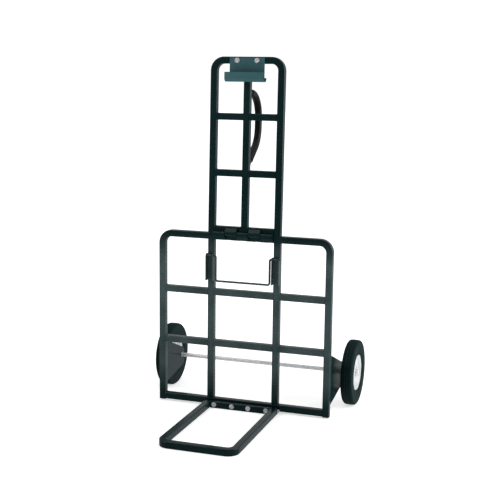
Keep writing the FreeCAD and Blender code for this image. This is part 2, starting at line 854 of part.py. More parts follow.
def tyre(name, place):
    """Semi-pneumatic tyre with ribs round its tread and a bead held between the wheel's two discs."""
    body = new_body(f"tyre_{name}", place)
    half, bead, seat, crown = S.wheel_width / 2, S.bead_half, S.rim_radius, S.wheel_radius
    shoulder = crown - 1.2
    side = [(bead, shoulder), (half, crown - 7, 7), (half, seat + 18, 10), (bead, seat + 6, 2), (bead, seat)]
    corners = [(-x, *rest) for x, *rest in reversed(side)]
    for centre in (-S.groove_pitch, dim(0), S.groove_pitch):
        near, far, bottom = centre - S.groove_half, centre + S.groove_half, crown - S.groove_depth
        corners += [(near, crown), (near, bottom), (far, bottom), (far, crown)]
    revolve(body, corners + side)
    return body


def wheel_disc(name, face, facing, place):
    """One pressed half of the wheel: a collar on the hub, a dished disc, a seat and a lip for the tyre."""
    body = new_body(f"wheel_disc_{face}_{name}", place)
    sheet, bead, seat, hub = S.disc_sheet, S.bead_half, S.rim_radius, S.hub_radius
    collar, dish, lip = S.hub_half - 2, bead - S.disc_dish, bead + S.disc_sheet
    outside = [
        (collar, hub),
        (collar, hub + 9, 3),
        (dish, hub + 16, 4),
        (dish, seat - 14, 6),
        (lip, seat - 5, 3),
        (lip, seat + S.rim_lip),
    ]
    inside = [
        (bead, seat + S.rim_lip),
        (bead, seat),
        (1, seat),
        (1, seat - sheet),
        (bead - 1.5, seat - sheet, 1),
        (dish - sheet, seat - 13, 5),
        (dish - sheet, hub + 15, 3),
        (collar - sheet, hub + 8, 2),
        (collar - sheet, hub + sheet, 1),
        (dish - 6, hub + sheet),
        (dish - 6, hub),
    ]
    revolve(body, [(dim(x) * facing, *rest) for x, *rest in outside + inside])
    return body


def wheel_bush(label, facing, place):
    """Flanged bush pressed into one end of the hub, running on the axle."""
    body = new_body(label, place)
    half, fit = S.hub_half, S.axle_radius + S.wheel_bush_fit
    edge = S.hub_radius - 0.3
    corners = [
        (half - S.wheel_bush_length, fit),
        (half + S.bush_flange, fit),
        (half + S.bush_flange, edge, 0.5),
        (half, edge),
        (half, S.hub_bore - 0.02),
        (half - S.wheel_bush_length, S.hub_bore - 0.02),
    ]
    revolve(body, [(x * facing, *rest) for x, *rest in corners])
    return body


def wheel_parts(name, side):
    place = wheel_place(side)
    half = S.hub_half
    hub = new_body(f"wheel_hub_{name}", place)
    bore, outside = S.hub_bore, S.hub_radius
    revolve(hub, [(-half, bore), (half, bore), (half, outside, 0.6), (-half, outside, 0.6)])
    bushes = [wheel_bush(f"wheel_bush_{name}_{face}", facing, place) for face, facing in SIDES.items()]
    return [
        tyre(name, place),
        wheel_disc(name, "outer", side, place),
        wheel_disc(name, "inner", -side, place),
        hub,
        group(f"wheel_bushes_{name}", bushes),
    ]


# ---- check and write ---------------------------------------------------------------------------------


def check_document():
    failed = [item.Name for item in DOC.Objects if {"Invalid", "Error"} & set(item.State)]
    if failed:
        raise RuntimeError(f"failed objects: {failed}")
    sketches = DOC.findObjects("Sketcher::SketchObject")
    loose = [sketch.Name for sketch in sketches if not sketch.FullyConstrained]
    if loose:
        raise RuntimeError(f"sketches with free dimensions: {loose}")


def write_parts(parts):
    os.makedirs("parts", exist_ok=True)
    for part in parts:
        shape = part.Shape
        if shape.isNull() or not shape.isValid():
            raise RuntimeError(f"{part.Label}: bad shape")
        shape.exportStep(f"parts/{part.Label}.step")
        print(f"{part.Label}: {len(shape.Solids)} solid(s), {shape.Volume / 1000:.1f} cm3")
    print(f"{len(parts)} nodes")


def main():
    fill_sheet()
    parts = lower_frame_parts() + upper_frame_parts() + toe_parts() + bail_part()
    for name, side in SIDES.items():
        parts += wheel_parts(name, side)
    DOC.recompute()
    check_document()
    write_parts(parts)


main()
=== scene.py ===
"""Looks of the folding luggage cart: enamel, welds, bolts, ribbed tyres and a plain white studio."""

import json
import math

import bpy
from mathutils import Matrix, Quaternion, Vector, noise

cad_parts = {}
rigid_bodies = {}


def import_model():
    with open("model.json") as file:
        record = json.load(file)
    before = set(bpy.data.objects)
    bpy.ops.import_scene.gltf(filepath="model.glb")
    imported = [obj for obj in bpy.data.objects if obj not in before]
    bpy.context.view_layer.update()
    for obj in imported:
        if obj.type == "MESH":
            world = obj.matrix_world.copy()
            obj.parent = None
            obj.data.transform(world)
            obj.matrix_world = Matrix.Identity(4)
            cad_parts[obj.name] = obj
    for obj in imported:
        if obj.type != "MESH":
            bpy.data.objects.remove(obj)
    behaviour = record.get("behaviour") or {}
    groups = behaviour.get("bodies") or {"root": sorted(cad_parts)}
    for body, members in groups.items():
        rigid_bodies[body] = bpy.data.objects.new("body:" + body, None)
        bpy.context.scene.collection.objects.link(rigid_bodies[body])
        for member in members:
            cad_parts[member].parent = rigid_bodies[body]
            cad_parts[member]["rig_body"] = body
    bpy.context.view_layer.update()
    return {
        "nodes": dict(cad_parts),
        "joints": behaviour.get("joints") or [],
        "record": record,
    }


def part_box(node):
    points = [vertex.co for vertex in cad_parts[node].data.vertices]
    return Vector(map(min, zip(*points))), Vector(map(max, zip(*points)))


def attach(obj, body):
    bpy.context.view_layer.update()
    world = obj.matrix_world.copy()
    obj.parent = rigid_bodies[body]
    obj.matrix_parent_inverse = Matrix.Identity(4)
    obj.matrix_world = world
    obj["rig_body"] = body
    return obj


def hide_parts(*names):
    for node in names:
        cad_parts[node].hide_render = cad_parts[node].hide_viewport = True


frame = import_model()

MM = 0.001

# The photograph's camera, solved from the cart's tubes and wheels, in the row frame.
CAMERA_PLACE = Vector((1.2202, -3.5426, 1.2746))
CAMERA_YAW = math.radians(18.293)
CAMERA_PITCH = math.radians(-9.717)
CAMERA_ROLL = math.radians(0.715)
CAMERA_LENS = 74.43

# The upper frame stands on the hinge, leaning back by this much.
LEAN = math.radians(1.8)
HINGE = next(Vector(j["pos_m"]) for j in frame["joints"] if j["name"] == "upper_fold")
UPRIGHT = Matrix.Identity(4)
LEANING = Matrix.Translation(HINGE) @ Matrix.Rotation(-LEAN, 4, "X")

TUBE = 25.4 * MM
TUBE_CORNER = 3 * MM
TUBE_FLAT = TUBE / 2 - TUBE_CORNER


def circle_angles(count):
    return [2 * math.pi * i / count for i in range(count)]


# ---- materials ---------------------------------------------------------------------------------------


class Shader:
    """A material with short calls for the nodes that it is made of."""

    def __init__(self, name, **sockets):
        self.material = bpy.data.materials.new(name)
        self.material.use_nodes = True
        self.tree = self.material.node_tree
        self.bsdf = self.tree.nodes["Principled BSDF"]
        for socket, value in sockets.items():
            self.bsdf.inputs[socket.replace("_", " ")].default_value = value
        self.place = self.add("ShaderNodeTexCoord").outputs["Object"]

    def add(self, kind, inputs=(), **settings):
        node = self.tree.nodes.new(kind)
        for name, value in settings.items():
            setattr(node, name, value)
        for socket, value in dict(inputs).items():
            if isinstance(value, bpy.types.NodeSocket):
                self.tree.links.new(value, node.inputs[socket])
            else:
                node.inputs[socket].default_value = value
        return node

    def noise(self, scale, detail=3.0, roughness=0.5, stretch=(1, 1, 1)):
        """Noise from 0 to 1 with features about 1 / scale metres across."""
        vector = self.add("ShaderNodeMapping", {"Vector": self.place, "Scale": stretch}).outputs[0]
        inputs = {"Vector": vector, "Scale": scale, "Detail": detail, "Roughness": roughness}
        return self.add("ShaderNodeTexNoise", inputs).outputs["Fac"]

    def specks(self, scale):
        """Distance from the nearest of many scattered points."""
        inputs = {"Vector": self.place, "Scale": scale, "Randomness": 1.0}
        return self.add("ShaderNodeTexVoronoi", inputs).outputs["Distance"]

    def span(self, value, from_low, from_high, to_low=0.0, to_high=1.0):
        inputs = {
            "Value": value,
            "From Min": from_low,
            "From Max": from_high,
            "To Min": to_low,
            "To Max": to_high,
        }
        return self.add("ShaderNodeMapRange", inputs, clamp=True).outputs["Result"]

    def sum(self, a, b):
        return self.add("ShaderNodeMath", {0: a, 1: b}, operation="ADD").outputs[0]

    def product(self, a, b):
        return self.add("ShaderNodeMath", {0: a, 1: b}, operation="MULTIPLY").outputs[0]

    def blend(self, share, a, b):
        a, b = (c if isinstance(c, bpy.types.NodeSocket) else (*c, 1.0) for c in (a, b))
        node = self.add("ShaderNodeMix", {0: share, 6: a, 7: b}, data_type="RGBA")
        return node.outputs[2]

    def edges(self, radius, reach=0.12):
        """1 along outside and inside edges within about radius of them, and 0 on flat stretches."""
        rounded = self.add("ShaderNodeBevel", {"Radius": radius}, samples=4).outputs[0]
        plain = self.add("ShaderNodeNewGeometry").outputs["Normal"]
        dot = self.add("ShaderNodeVectorMath", {0: rounded, 1: plain}, operation="DOT_PRODUCT")
        return self.span(dot.outputs["Value"], 1.0 - reach, 1.0, 1.0, 0.0)

    def along(self, axis):
        """Metres from the origin along X, Y or Z."""
        return self.add("ShaderNodeSeparateXYZ", {0: self.place}).outputs[axis]

    def bump(self, *layers):
        """Bump from (height, depth in metres) layers, one over another."""
        normal = None
        for height, depth in layers:
            inputs = {"Height": height, "Strength": 1.0, "Distance": depth}
            if normal is not None:
                inputs["Normal"] = normal
            normal = self.add("ShaderNodeBump", inputs).outputs[0]
        self.tree.links.new(normal, self.bsdf.inputs["Normal"])

    def set(self, socket, value):
        self.tree.links.new(value, self.bsdf.inputs[socket])


# The lower frame's paler paint fades in above the bottom rail and out below the hinge, in metres up. It stops
# behind the frame's back face, in metres back.
FADED_FROM = (0.04, 0.16)
FADED_TO = (0.58, 0.67)
FADED_BACK = (0.0965, 0.0975)
CHIPPED_UP_TO = 0.11
BARE_STEEL = (0.30, 0.31, 0.31)


def enamel(name, dark, light, worn, gloss=(0.16, 0.30), chips=0.0, faded=None):
    """Gloss enamel on steel: orange peel, faint smudges, rubbed edges, and bare chips low down if any.

    A faded colour shows over the lower frame, between the bottom rail and the hinge.
    """
    shader = Shader(name, Specular_IOR_Level=0.3, Coat_Weight=0.12, Coat_Roughness=0.1)
    tone = shader.blend(shader.span(shader.noise(5.0), 0.35, 0.65), dark, light)
    if faded:
        rising = shader.span(shader.along("Z"), *FADED_FROM)
        falling = shader.span(shader.along("Z"), *FADED_TO, 1.0, 0.0)
        in_plane = shader.span(shader.along("Y"), *FADED_BACK, 1.0, 0.0)
        share = shader.product(shader.product(rising, falling), in_plane)
        cloud = shader.span(shader.noise(9.0, 5.0, 0.6), 0.3, 0.7, 0.45, 0.95)
        tone = shader.blend(shader.product(share, cloud), tone, faded)
    rubbed = shader.product(shader.edges(1.6 * MM), shader.span(shader.noise(70.0, 5.0), 0.5, 0.68))
    tone = shader.blend(shader.product(rubbed, 0.55), tone, worn)
    smudge = shader.noise(28.0, 6.0, 0.6)
    rough = shader.span(smudge, 0.3, 0.75, *gloss)
    if chips:
        low = shader.span(shader.along("Z"), 0.0, CHIPPED_UP_TO, chips, 0.0)
        spots = shader.span(shader.noise(120.0, 4.0, 0.65), 0.60, 0.64)
        bare = shader.product(shader.product(low, spots), shader.edges(2.2 * MM, 0.08))
        tone = shader.blend(bare, tone, BARE_STEEL)
        rough = shader.sum(rough, shader.product(bare, 0.2))
    shader.set("Base Color", tone)
    shader.set("Roughness", rough)
    shader.bump((shader.noise(420.0, 2.0), 0.035 * MM), (shader.noise(60.0, 2.0), 0.05 * MM))
    return shader.material


def plated(name, colour, shadow, gloss, brushed=(1, 1, 1), metallic=1.0):
    """Zinc or bright plated steel: cloudy tone, fine drawing lines and duller patches. With a low metallic,
    its pale colour works as a painted highlight.
    """
    shader = Shader(name, Metallic=metallic)
    cloud = shader.noise(90.0, 4.0, 0.6)
    lines = shader.noise(900.0, 2.0, 0.5, brushed)
    stain = shader.span(shader.noise(35.0, 5.0, 0.7), 0.55, 0.75)
    shader.set("Base Color", shader.blend(stain, shader.blend(cloud, shadow, colour), shadow))
    shader.set("Roughness", shader.span(shader.product(cloud, lines), 0.05, 0.5, *gloss))
    shader.bump((lines, 0.012 * MM), (cloud, 0.02 * MM))
    return shader.material


def tyre_rubber():
    """Dull black rubber, patchy in tone, with a little floor dust along its edges."""
    shader = Shader("tyre_rubber", Specular_IOR_Level=0.11)
    grain = shader.noise(1500.0, 3.0, 0.6)
    patches = shader.noise(22.0, 5.0, 0.6)
    tone = shader.blend(patches, (0.0024, 0.0125, 0.0128), (0.0050, 0.0210, 0.0215))
    dust = shader.product(shader.span(shader.noise(45.0, 6.0, 0.7), 0.5, 0.8), 0.2)
    dust = shader.product(dust, shader.edges(2.5 * MM, 0.2))
    shader.set("Base Color", shader.blend(dust, tone, (0.035, 0.036, 0.034)))
    shader.set("Roughness", shader.span(patches, 0.3, 0.7, 0.42, 0.62))
    shader.bump((grain, 0.03 * MM), (patches, 0.15 * MM))
    return shader.material


def moulded(name, dark, light, gloss):
    """Moulded plastic or rubber with a fine even grain, and edges painted lighter as a painted sheen."""
    shader = Shader(name, Specular_IOR_Level=0.2)
    patches = shader.noise(30.0, 4.0, 0.6)
    pits = shader.specks(700.0)
    # Painted sheen: the edges are painted lighter in colour, standing in for the shine of polished edges.
    painted_edge_sheen = shader.product(shader.edges(1.5 * MM), 0.3)
    tone = shader.blend(patches, dark, light)
    shader.set("Base Color", shader.blend(painted_edge_sheen, tone, [channel * 2.2 for channel in light]))
    shader.set("Roughness", shader.span(patches, 0.3, 0.7, *gloss))
    shader.bump((pits, 0.03 * MM), (patches, 0.06 * MM))
    return shader.material


MATERIALS = {
    "frame_paint": enamel(
        "green_enamel", (0.0016, 0.0125, 0.0132), (0.0030, 0.0180, 0.0188), (0.02, 0.05, 0.05),
        chips=0.6, faded=(0.062, 0.092, 0.093),
    ),
    # The hook plate's lighter teal is painted light: it stands in for the light on the plate's lit front
    # face, which carries the frame's green enamel. Its satin gloss is its own.
    "bracket_paint": enamel(
        "bracket_enamel_painted_light", (0.028, 0.096, 0.108), (0.038, 0.115, 0.126), (0.06, 0.11, 0.11), gloss=(0.38, 0.5)
    ),
    "wheel_paint": enamel(
        "white_enamel", (0.66, 0.69, 0.69), (0.73, 0.75, 0.75), (0.66, 0.65, 0.62), gloss=(0.2, 0.34)
    ),
    # The axle's near-white, barely metallic colour is a painted highlight: it stands in for the bright
    # reflection along the plated axle.
    "plated_steel": plated(
        "bright_plate_painted_highlight", (0.95, 0.96, 0.97), (0.76, 0.77, 0.79), (0.2, 0.38), (1, 40, 40), metallic=0.2
    ),
    "zinc_steel": plated("zinc_plate", (0.92, 0.94, 0.95), (0.68, 0.70, 0.73), (0.26, 0.46), metallic=0.6),
    "tyre": tyre_rubber(),
    "grip_rubber": moulded("grip_rubber", (0.002, 0.0025, 0.003), (0.005, 0.006, 0.0065), (0.34, 0.46)),
    "plug_plastic": moulded("plug_plastic", (0.01, 0.01, 0.011), (0.018, 0.018, 0.02), (0.4, 0.55)),
    "bush_plastic": moulded("bush_plastic", (0.62, 0.6, 0.54), (0.72, 0.7, 0.64), (0.35, 0.5)),
}


def paint_nodes():
    """Give each CAD node the finish of its material slot."""
    for part in frame["record"]["subparts"]:
        node = frame["nodes"][part["node"]]
        node.data.materials.clear()
        node.data.materials.append(MATERIALS[part["material_slot"]])


# ---- mesh helpers ------------------------------------------------------------------------------------


def add_piece(name, body, slot, vertices, faces, space=UPRIGHT, sharp=35):
    """A new piece of the cart on a CAD body; vertices are in metres in the space given."""
    mesh = bpy.data.meshes.new(name)
    mesh.from_pydata([space @ Vector(v) for v in vertices], [], faces)
    mesh.validate()
    mesh.shade_smooth()
    mesh.set_sharp_from_angle(angle=math.radians(sharp))
    mesh.materials.append(MATERIALS[slot])
    piece = bpy.data.objects.new(name, mesh)
    bpy.context.scene.collection.objects.link(piece)
    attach(piece, body)
    return piece


class Mesh:
    """Vertices and faces gathered from several rings."""

    def __init__(self):
        self.vertices = []
        self.faces = []

    def skin(self, rings, closed=False, caps=True):
        """Skin a row of rings, each a list of the same number of points, wrapping round if closed."""
        start, count = len(self.vertices), len(rings[0])
        for ring in rings:
            self.vertices += ring
        for i in range(len(rings) if closed else len(rings) - 1):
            a, b = start + i * count, start + (i + 1) % len(rings) * count
            for j in range(count):
                k = (j + 1) % count
                self.faces.append((a + j, a + k, b + k, b + j))
        if caps and not closed:
            self.faces.append(tuple(range(start + count - 1, start - 1, -1)))
            last = start + (len(rings) - 1) * count
            self.faces.append(tuple(range(last, last + count)))

    def add_to(self, name, body, slot, space=UPRIGHT, sharp=35):
        return add_piece(name, body, slot, self.vertices, self.faces, space, sharp)


def local_points(node, space):
    """A CAD node's vertices as seen from a space such as the leaning upper frame's."""
    back = space.inverted()
    return [back @ vertex.co for vertex in frame["nodes"][node].data.vertices]


def box_of(points):
    low = Vector(min(p[i] for p in points) for i in range(3))
    high = Vector(max(p[i] for p in points) for i in range(3))
    return low, high


def islands(node, space):
    """The box of each separate solid of a grouped CAD node."""
    mesh = frame["nodes"][node].data
    points = local_points(node, space)
    keys = [tuple(round(c, 6) for c in vertex.co) for vertex in mesh.vertices]
    parent = {key: key for key in keys}

    def root(key):
        while parent[key] != key:
            parent[key] = parent[parent[key]]
            key = parent[key]
        return key

    for face in mesh.polygons:
        first = root(keys[face.vertices[0]])
        for index in face.vertices[1:]:
            parent[root(keys[index])] = first
    groups = {}
    for key, point in zip(keys, points):
        groups.setdefault(root(key), []).append(point)
    return sorted((box_of(group) for group in groups.values()), key=lambda box: box[0].x)


def turned(points, axis):
    """Points made about +Z turned so that their Z axis lies along axis."""
    turn = Vector((0, 0, 1)).rotation_difference(Vector(axis)).to_matrix()
    return [turn @ Vector(point) for point in points]


# ---- welds -------------------------------------------------------------------------------------------


WELD_RADIUS = 1.7 * MM
GUSSET_WELD_RADIUS = 2.2 * MM
BRACKET_WELD_RADIUS = 2.0 * MM
RIPPLE_PITCH = 2.6 * MM
PATH_STEP = 0.8 * MM
BEAD_SIDES = 7
CORNER_STEPS = 6
FLUSH_SHARE = 0.25
WELD_SHARP = 80


def bead(mesh, path, closed, radius=WELD_RADIUS, scale=None):
    """A rippled weld bead along a path of close points; scale gives a share of the radius at each point."""
    run = 0.0
    rings = []
    count = len(path)
    for i, point in enumerate(path):
        before = path[i - 1] if closed or i > 0 else point
        after = path[(i + 1) % count] if closed or i < count - 1 else point
        along = (after - before).normalized()
        run += (point - path[i - 1]).length if i else 0.0
        across = along.orthogonal().normalized()
        up = along.cross(across)
        ripple = 0.86 + 0.22 * abs(math.sin(math.pi * run / RIPPLE_PITCH)) + 0.1 * noise.noise(point * 300)
        share = scale(point) if scale else 1.0
        taper = 1.0 if closed else min(1.0, 0.35 + 0.3 * min(i, count - 1 - i))
        size = radius * ripple * share * taper
        rings.append([
            point + (across * math.cos(a) + up * math.sin(a)) * size for a in circle_angles(BEAD_SIDES)
        ])
    align_rings(rings)
    mesh.skin(rings, closed)


def align_rings(rings):
    """Turn each ring's numbering so that its first point is nearest the ring before, to avoid twists."""
    for i in range(1, len(rings)):
        before, ring = rings[i - 1], rings[i]
        shift = min(range(len(ring)), key=lambda k: (ring[k] - before[0]).length)
        ring = ring[shift:] + ring[:shift]
        if (ring[1] - before[1]).length > (ring[-1] - before[1]).length:
            ring = ring[:1] + ring[:0:-1]
        rings[i] = ring


def rounded_square(centre, normal_axis):
    """Points round the tube's rounded outline, in the plane square to one axis."""
    half = TUBE / 2
    steps = round(2 * TUBE_FLAT / PATH_STEP)
    points = []
    for quarter in range(4):
        angle = quarter * math.pi / 2
        cos, sin = math.cos(angle), math.sin(angle)
        for i in range(steps):
            v = -TUBE_FLAT + 2 * TUBE_FLAT * i / steps
            points.append((half * cos - v * sin, half * sin + v * cos))
        for i in range(CORNER_STEPS):
            bend = angle + math.pi / 2 * i / CORNER_STEPS
            points.append((
                TUBE_FLAT * (cos - sin) + TUBE_CORNER * math.cos(bend),
                TUBE_FLAT * (sin + cos) + TUBE_CORNER * math.sin(bend),
            ))
    first, second = (axis for axis in range(3) if axis != normal_axis)
    placed = []
    for u, v in points:
        point = Vector(centre)
        point[first] += u
        point[second] += v
        placed.append(point)
    return placed


def weld_tube_ends(node, axis, space, thin_below=False):
    """A bead round both ends of a straight tube, thin on its front and back, which lie flush with the frame.

    It is thin on the underside as well if asked.
    """
    box = box_of(local_points(node, space))
    mesh = Mesh()
    for corner in box:
        centre = (box[0] + box[1]) / 2
        centre[axis] = corner[axis]

        def scale(point, centre=centre):
            below = thin_below and centre.z - point.z > TUBE_FLAT
            return FLUSH_SHARE if below or abs(point.y - centre.y) > TUBE_FLAT else 1.0

        bead(mesh, rounded_square(centre, axis), closed=True, scale=scale)
    mesh.add_to(f"weld_{node}", frame["nodes"][node]["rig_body"], "frame_paint", space, sharp=WELD_SHARP)


def straight_path(start, end):
    start, end = Vector(start), Vector(end)
    count = max(2, round((end - start).length / PATH_STEP))
    return [start.lerp(end, i / count) for i in range(count + 1)]


def stitch(name, body, runs, space=UPRIGHT, radius=WELD_RADIUS):
    """Short straight weld beads as one piece."""
    mesh = Mesh()
    for start, end in runs:
        bead(mesh, straight_path(start, end), closed=False, radius=radius)
    mesh.add_to(name, body, "frame_paint", space, sharp=WELD_SHARP)


def weld_frames():
    for height in ("lower", "upper"):
        for place in ("left", "centre", "right"):
            weld_tube_ends(f"{height}_mid_rail_{place}", 0, UPRIGHT)
    weld_tube_ends("bottom_rail", 0, UPRIGHT)
    for side in ("left", "right"):
        weld_tube_ends(f"inner_upright_{side}", 2, UPRIGHT)
        weld_tube_ends(f"lower_rung_{side}", 0, LEANING)
        weld_tube_ends(f"upper_rung_{side}", 0, LEANING)
    weld_tube_ends("upper_bottom_rail", 0, LEANING, thin_below=True)
    weld_tube_ends("centre_post", 2, LEANING)


def weld_gussets():
    """Three stitches down the inside of each gusset, where it meets the back of the leg."""
    for side in ("left", "right"):
        low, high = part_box(f"gusset_{side}")
        x = high.x if side == "left" else low.x
        length = (high.z - low.z) / 7
        starts = [low.z + length * (0.2 + 2.6 * i) for i in range(3)]
        runs = [((x, low.y, z), (x, low.y, z + length * 1.4)) for z in starts]
        stitch(f"weld_gusset_{side}", "lower_frame", runs, radius=GUSSET_WELD_RADIUS)


def weld_hinge():
    """Four stitches below the lower hinge leaf, and four above the upper one."""
    sunk = 0.6 * MM
    for node, body, space in (
        ("hinge_leaf_lower", "lower_frame", UPRIGHT),
        ("hinge_leaf_upper", "upper_frame", LEANING),
    ):
        low, high = box_of(local_points(node, space))
        z = low.z if node.endswith("lower") else high.z
        back = high.y - sunk
        span = high.x - low.x
        starts = [low.x + span * share for share in (0.04, 0.28, 0.54, 0.78)]
        runs = [((x, back, z), (x + span * 0.16, back, z)) for x in starts]
        stitch(f"weld_{node}", body, runs, space)


def weld_bail_brackets():
    """Two stitches down each side of the back of both bail brackets."""
    inset, above_foot, below_top, length = 2.6 * MM, 8 * MM, 30 * MM, 22 * MM
    for side in ("left", "right"):
        low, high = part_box(f"bail_bracket_{side}")
        runs = []
        for x in (low.x + inset, high.x - inset):
            for z in (low.z + above_foot, high.z - below_top):
                runs.append(((x, high.y, z), (x, high.y, z + length)))
        stitch(f"weld_bail_bracket_{side}", "lower_frame", runs, radius=BRACKET_WELD_RADIUS)


def weld_handle():
    """Beads where the handle's two round ends meet the back of the centre post."""
    post = box_of(local_points("centre_post", LEANING))
    points = local_points("handle_loop", LEANING)
    touching = 0.3 * MM
    ends = [p for p in points if abs(p.y - post[1].y) < touching]
    middle = sum(p.z for p in ends) / len(ends)
    mesh = Mesh()
    for group in ([p for p in ends if p.z > middle], [p for p in ends if p.z < middle]):
        low, high = box_of(group)
        centre, size = (low + high) / 2, (high - low) / 2
        path = [centre + Vector((size.x * math.cos(a), 0, size.z * math.sin(a))) for a in circle_angles(110)]
        bead(mesh, path, closed=True)
    mesh.add_to("weld_handle", "upper_frame", "frame_paint", LEANING, sharp=WELD_SHARP)


# ---- fasteners ---------------------------------------------------------------------------------------

SEGMENTS = 48
HEAD_HEIGHT = 5.4 * MM
NUT_HOLE_RADIUS = 4.1 * MM
THREAD_PITCH = 1.41 * MM
RINGS_PER_TURN = 6
FINE = 0.2 * MM

# Shares of the distance from a bolt's or nut's middle to its flats.
CHAMFER_SHARE = 0.96
COLLAR_SHARE = 0.95
SHANK_SHARE = 0.58

# Share of the shank's length, and of its radius.
THREAD_SHARE = 0.35
THREAD_DEPTH_SHARE = 0.1


def hex_ring(radius, z):
    """A ring of a hexagon's outline at height z."""
    ring = []
    for angle in circle_angles(SEGMENTS):
        within = (angle + math.pi / 6) % (math.pi / 3) - math.pi / 6
        reach = radius / math.cos(within)
        ring.append(Vector((reach * math.cos(angle), reach * math.sin(angle), z)))
    return ring


def round_ring(radius, z):
    return [Vector((radius * math.cos(a), radius * math.sin(a), z)) for a in circle_angles(SEGMENTS)]


def chamfered(ring, flat, z, way):
    """Move a hexagonal ring's points back from height z as a 30 degree chamfer about its flats would."""
    moved = []
    for point in ring:
        beyond = Vector((point.x, point.y)).length - flat * CHAMFER_SHARE
        moved.append(Vector((point.x, point.y, z - way * beyond * math.tan(math.radians(30)))))
    return moved


def bolt_rings(flat, head, length):
    """Rings of a hexagon bolt, from its head's face (at -head) with its sunk ring to its tip (at length)."""
    shank = flat * SHANK_SHARE
    thread = length * THREAD_SHARE
    rings = [
        round_ring(flat * 0.3, -head),
        round_ring(flat * 0.62, -head),
        round_ring(flat * 0.66, -head + FINE),
        round_ring(flat * 0.9, -head + FINE),
        round_ring(flat * CHAMFER_SHARE, -head),
        chamfered(hex_ring(flat, 0), flat, -head, -1),
        hex_ring(flat, -2 * FINE),
        round_ring(flat * COLLAR_SHARE, -FINE),
        round_ring(flat * COLLAR_SHARE, 0),
        round_ring(shank, 0),
        round_ring(shank, length - thread),
    ]
    steps = round(thread / THREAD_PITCH * RINGS_PER_TURN)
    for i in range(1, steps):
        z = length - thread + thread * i / steps
        ring = []
        for k, point in enumerate(round_ring(1.0, z)):
            wave = 0.5 - 0.5 * math.cos(2 * math.pi * (z / THREAD_PITCH - k / SEGMENTS))
            radius = shank * (0.995 - THREAD_DEPTH_SHARE * wave)
            ring.append(Vector((point.x * radius, point.y * radius, z)))
        rings.append(ring)
    return rings + [round_ring(shank * 0.9, length - FINE), round_ring(shank * 0.72, length)]


def nut_rings(flat, hole, height):
    """Rings of a hexagon nut from its foot (at 0) round to a small countersink in its top (at height)."""
    corner = hex_ring(flat, 0)
    countersink = 0.6 * MM
    return [
        round_ring(hole, 0),
        round_ring(flat * CHAMFER_SHARE, 0),
        chamfered(corner, flat, 0, -1),
        chamfered(corner, flat, height, 1),
        round_ring(flat * CHAMFER_SHARE, height),
        round_ring(hole * 1.12, height),
        round_ring(hole, height - countersink),
    ]


def place_rings(rings, axis, place):
    return [[point + Vector(place) for point in turned(ring, axis)] for ring in rings]


def make_bolts(node, axis, space=UPRIGHT, outwards=False):
    """Detailed bolts in the places of a CAD node's plain ones; axis runs from head to tip."""
    mesh = Mesh()
    index = [abs(c) for c in axis].index(1)
    for low, high in islands(node, space):
        middle = (low + high) / 2
        size = high - low
        way = axis[index] * (-1 if outwards and middle.x > 0 else 1)
        direction = [0, 0, 0]
        direction[index] = way
        place = middle.copy()
        place[index] = low[index] + HEAD_HEIGHT if way > 0 else high[index] - HEAD_HEIGHT
        flat = min(size[k] for k in range(3) if k != index) / 2
        rings = bolt_rings(flat, HEAD_HEIGHT, size[index] - HEAD_HEIGHT)
        mesh.skin(place_rings(rings, direction, place))
    bolts = mesh.add_to(f"{node}_detailed", frame["nodes"][node]["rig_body"], "zinc_steel", space, sharp=28)
    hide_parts(node)


def make_nuts(node, space=UPRIGHT):
    """Detailed nuts in the places of a CAD node's plain ones, with their holes along Y."""
    mesh = Mesh()
    for low, high in islands(node, space):
        middle = (low + high) / 2
        flat = min(high.x - low.x, high.z - low.z) / 2
        rings = nut_rings(flat, NUT_HOLE_RADIUS, high.y - low.y)
        mesh.skin(place_rings(rings, (0, 1, 0), (middle.x, low.y, middle.z)), closed=True)
    nuts = mesh.add_to(f"{node}_detailed", frame["nodes"][node]["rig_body"], "zinc_steel", space, sharp=28)
    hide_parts(node)


def make_fasteners():
    make_bolts("toe_mount_bolts", (0, 1, 0))
    make_bolts("hook_bolts", (0, 1, 0), LEANING)
    make_bolts("toe_pivot_bolts", (1, 0, 0), outwards=True)
    make_nuts("toe_mount_nuts")
    make_nuts("hook_nuts", LEANING)


# ---- wheels ------------------------------------------------------------------------------------------


RIM_LIP = 3.5 * MM
STEPS_AROUND = 360
NOTCHES = 60
NOTCH_STEPS = 2
NOTCH_DEPTH = 1.3 * MM
NOTCHES_BEYOND = 15 * MM
NOTCHES_BELOW_CROWN = 9 * MM
SHOULDER_STEPS = 6

# Half of the tyre's cross-section in mm, from the tread's middle to the bead. The tread is (across, down from
# the crown), the wall's top is (in from the side, down from the crown), and the rest of the wall is (in from
# the side, out from the seat).
TREAD = (
    (0.0, 3), (1.2, 3), (1.7, 0.3), (2.4, 0), (8.6, 0.1), (9.4, 0.5), (9.9, 3), (11.9, 3.1), (12.4, 0.9),
    (13.2, 0.6), (16.2, 1.2), (18.9, 2.8),
)
WALL_TOP = ((0, 14), (0, 15.2), (0.5, 15.8))
WALL = (
    (0.5, 22), (0.1, 21.5), (0.1, 19.5), (0.7, 18.8), (1.8, 15), (3.6, 11), (5.4, 7.5), (6.2, 5), (6.25, 0),
)


def tyre_profile(half, seat, crown):
    """Half of the tyre's cross-section as (across, radius), from the tread's middle to the bead."""
    points = [(across * MM, crown - down * MM) for across, down in TREAD]
    for i in range(1, SHOULDER_STEPS + 1):
        angle = math.pi / 2 * (1 - i / SHOULDER_STEPS)
        across = half - 5.5 * MM + 5.3 * MM * math.cos(angle)
        points.append((across, crown - 8.5 * MM + 5.5 * MM * math.sin(angle)))
    points += [(half - inward * MM, crown - down * MM) for inward, down in WALL_TOP]
    points += [(half - inward * MM, seat + out * MM) for inward, out in WALL]
    return points


